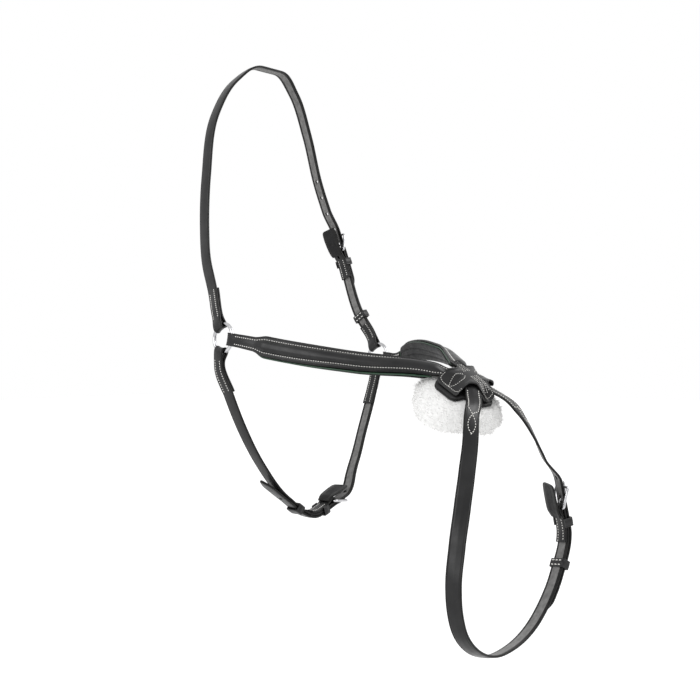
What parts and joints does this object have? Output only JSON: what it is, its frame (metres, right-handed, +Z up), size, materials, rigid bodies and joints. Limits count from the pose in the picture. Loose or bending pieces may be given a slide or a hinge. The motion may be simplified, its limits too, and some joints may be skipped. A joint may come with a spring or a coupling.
{
  "type": "figure eight noseband",
  "caption": "Figure eight noseband: padded raised nose straps crossing at a leather rosette over a sheepskin pad, rings, headstrap, jaw strap and buckled lower strap.",
  "frame": {"origin": "middle of the headstrap's underside where it lies over the poll", "axes": "+Z up, the horse faces -Y, its near (left) side is +X"},
  "size_m": [0.2435, 0.3704, 0.5971],
  "materials": {
    "bridle_leather": "smooth black bridle leather with a soft sheen",
    "soft_lining": "matt soft black lining leather",
    "green_piping": "dark green piping",
    "felt": "pressed felt",
    "sheepskin": "white fleece",
    "polished_steel": "polished steel"
  },
  "bodies": {
    "headpiece": {"headstrap": "bridle_leather", "near_cheek_strap": "bridle_leather", "cheek_buckle_guard": "bridle_leather", "cheek_fixed_keeper": "bridle_leather"},
    "off_ring": {"off_ring": "polished_steel"},
    "near_ring": {"near_ring": "polished_steel"},
    "cheek_buckle": {"cheek_buckle_frame": "polished_steel"},
    "cheek_tongue": {"cheek_buckle_tongue": "polished_steel"},
    "cheek_keeper": {"cheek_running_keeper": "bridle_leather"},
    "nose": {"off_nose_strap": "bridle_leather", "near_nose_strap": "bridle_leather", "off_nose_padding": "soft_lining", "near_nose_padding": "soft_lining", "off_piping": "green_piping", "near_piping": "green_piping", "off_raised_filler": "felt", "near_raised_filler": "felt", "rosette_cover": "bridle_leather", "rosette_base": "bridle_leather", "sheepskin_pad": "sheepskin", "lower_buckle_guard": "bridle_leather", "lower_fixed_keeper": "bridle_leather"},
    "lower_buckle": {"lower_buckle_frame": "polished_steel"},
    "lower_tongue": {"lower_buckle_tongue": "polished_steel"},
    "lower_keeper": {"lower_running_keeper": "bridle_leather"},
    "jaw": {"jaw_buckle_strap": "bridle_leather", "jaw_billet": "bridle_leather", "jaw_buckle_guard": "bridle_leather", "jaw_fixed_keeper": "bridle_leather"},
    "jaw_buckle": {"jaw_buckle_frame": "polished_steel"},
    "jaw_tongue": {"jaw_buckle_tongue": "polished_steel"},
    "jaw_keeper": {"jaw_running_keeper": "bridle_leather"}
  },
  "joints": [
    {"name": "off_ring_turn", "type": "hinge", "parent": "headpiece", "child": "off_ring", "pos_m": [-0.1154, -0.0647, -0.30975], "axis": [-0.9964, 0, 0.0842], "continuous": true},
    {"name": "near_ring_turn", "type": "hinge", "parent": "headpiece", "child": "near_ring", "pos_m": [0.1154, -0.0647, -0.32925], "axis": [-0.9964, 0, 0.0842], "continuous": true},
    {"name": "nose_swing", "type": "hinge", "parent": "headpiece", "child": "nose", "pos_m": [-0.1154, -0.0647, -0.30975], "axis": [-0.9964, 0, 0.0842], "range_deg": [-6, 30]},
    {"name": "jaw_swing", "type": "hinge", "parent": "headpiece", "child": "jaw", "pos_m": [-0.1154, -0.0647, -0.30975], "axis": [-0.9964, 0, 0.0842], "range_deg": [-25, 8]},
    {"name": "cheek_buckle_tilt", "type": "hinge", "parent": "headpiece", "child": "cheek_buckle", "pos_m": [0.10536, -0.00765, -0.20164], "axis": [0.0237, 0.9761, -0.2162], "range_deg": [0, 4]},
    {"name": "cheek_tongue_tilt", "type": "hinge", "parent": "cheek_buckle", "child": "cheek_tongue", "pos_m": [0.10536, -0.00765, -0.20164], "axis": [0.0237, 0.9761, -0.2162], "range_deg": [0, 4]},
    {"name": "cheek_keeper_slide", "type": "slide", "parent": "headpiece", "child": "cheek_keeper", "axis": [-0.135, 0.5021, 0.8542], "range_m": [-0.005, 0.004]},
    {"name": "lower_buckle_tilt", "type": "hinge", "parent": "nose", "child": "lower_buckle", "pos_m": [0.07831, -0.33866, -0.47426], "axis": [0.4164, 0.9092, -0.0004], "range_deg": [0, 4]},
    {"name": "lower_tongue_tilt", "type": "hinge", "parent": "lower_buckle", "child": "lower_tongue", "pos_m": [0.07831, -0.33866, -0.47426], "axis": [0.4164, 0.9092, -0.0004], "range_deg": [0, 4]},
    {"name": "lower_keeper_slide", "type": "slide", "parent": "nose", "child": "lower_keeper", "axis": [0.5044, 0.0131, 0.8634], "range_m": [-0.005, 0.003]},
    {"name": "jaw_buckle_tilt", "type": "hinge", "parent": "jaw", "child": "jaw_buckle", "pos_m": [0.01728, -0.08201, -0.48843], "axis": [-0.0882, 0.9959, -0.0176], "range_deg": [0, 4]},
    {"name": "jaw_tongue_tilt", "type": "hinge", "parent": "jaw_buckle", "child": "jaw_tongue", "pos_m": [0.01728, -0.08201, -0.48843], "axis": [-0.0882, 0.9959, -0.0176], "range_deg": [0, 4]},
    {"name": "jaw_keeper_slide", "type": "slide", "parent": "jaw", "child": "jaw_keeper", "axis": [0.7995, -0.0621, -0.5974], "range_m": [-0.006, 0.004]}
  ]
}
